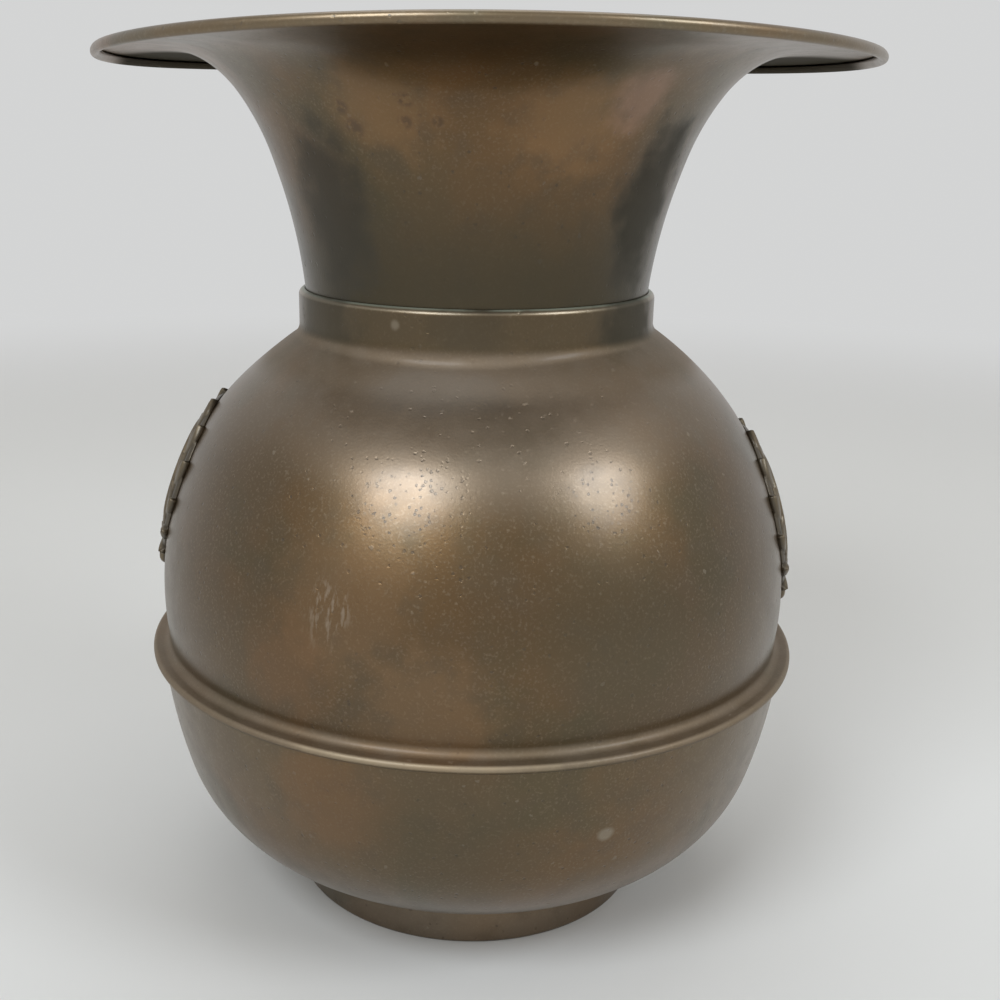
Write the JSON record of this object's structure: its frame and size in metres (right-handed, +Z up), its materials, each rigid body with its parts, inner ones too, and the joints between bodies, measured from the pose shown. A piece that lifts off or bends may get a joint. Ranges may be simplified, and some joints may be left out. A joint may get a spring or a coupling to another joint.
{
  "type": "spittoon",
  "caption": "Round brass spittoon: a flared mouth funnel lifts out of the collar of a globe body that stands on a weighted foot, with a cast wreath plaque on each side.",
  "frame": {"origin": "middle of the foot's underside, on the surface it stands on", "axes": "+Z up along the spittoon's own axis, from the foot to the mouth; the plaques face -X and +X; -Y is the side towards the viewer of the picture"},
  "size_m": [0.2286, 0.2286, 0.2674],
  "materials": {
    "spun_brass": "aged, satin, speckled",
    "cast_brass": "aged, satin, dark in the hollows",
    "base_sheet": "dull, tarnished",
    "iron_wire": "drawn, dark",
    "ballast_iron": "as cast"
  },
  "bodies": {
    "body": {"upper_shell": "spun_brass", "lower_bowl": "spun_brass", "foot_ring": "spun_brass", "base_plate": "base_sheet", "ballast_weight": "ballast_iron", "plaque_left": "cast_brass", "plaque_right": "cast_brass"},
    "funnel": {"mouth_funnel": "spun_brass", "rim_wire": "iron_wire"}
  },
  "joints": [
    {"name": "funnel_lift", "type": "slide", "parent": "body", "child": "funnel", "axis": [0, 0, 1], "range_m": [0, 0.06]}
  ]
}
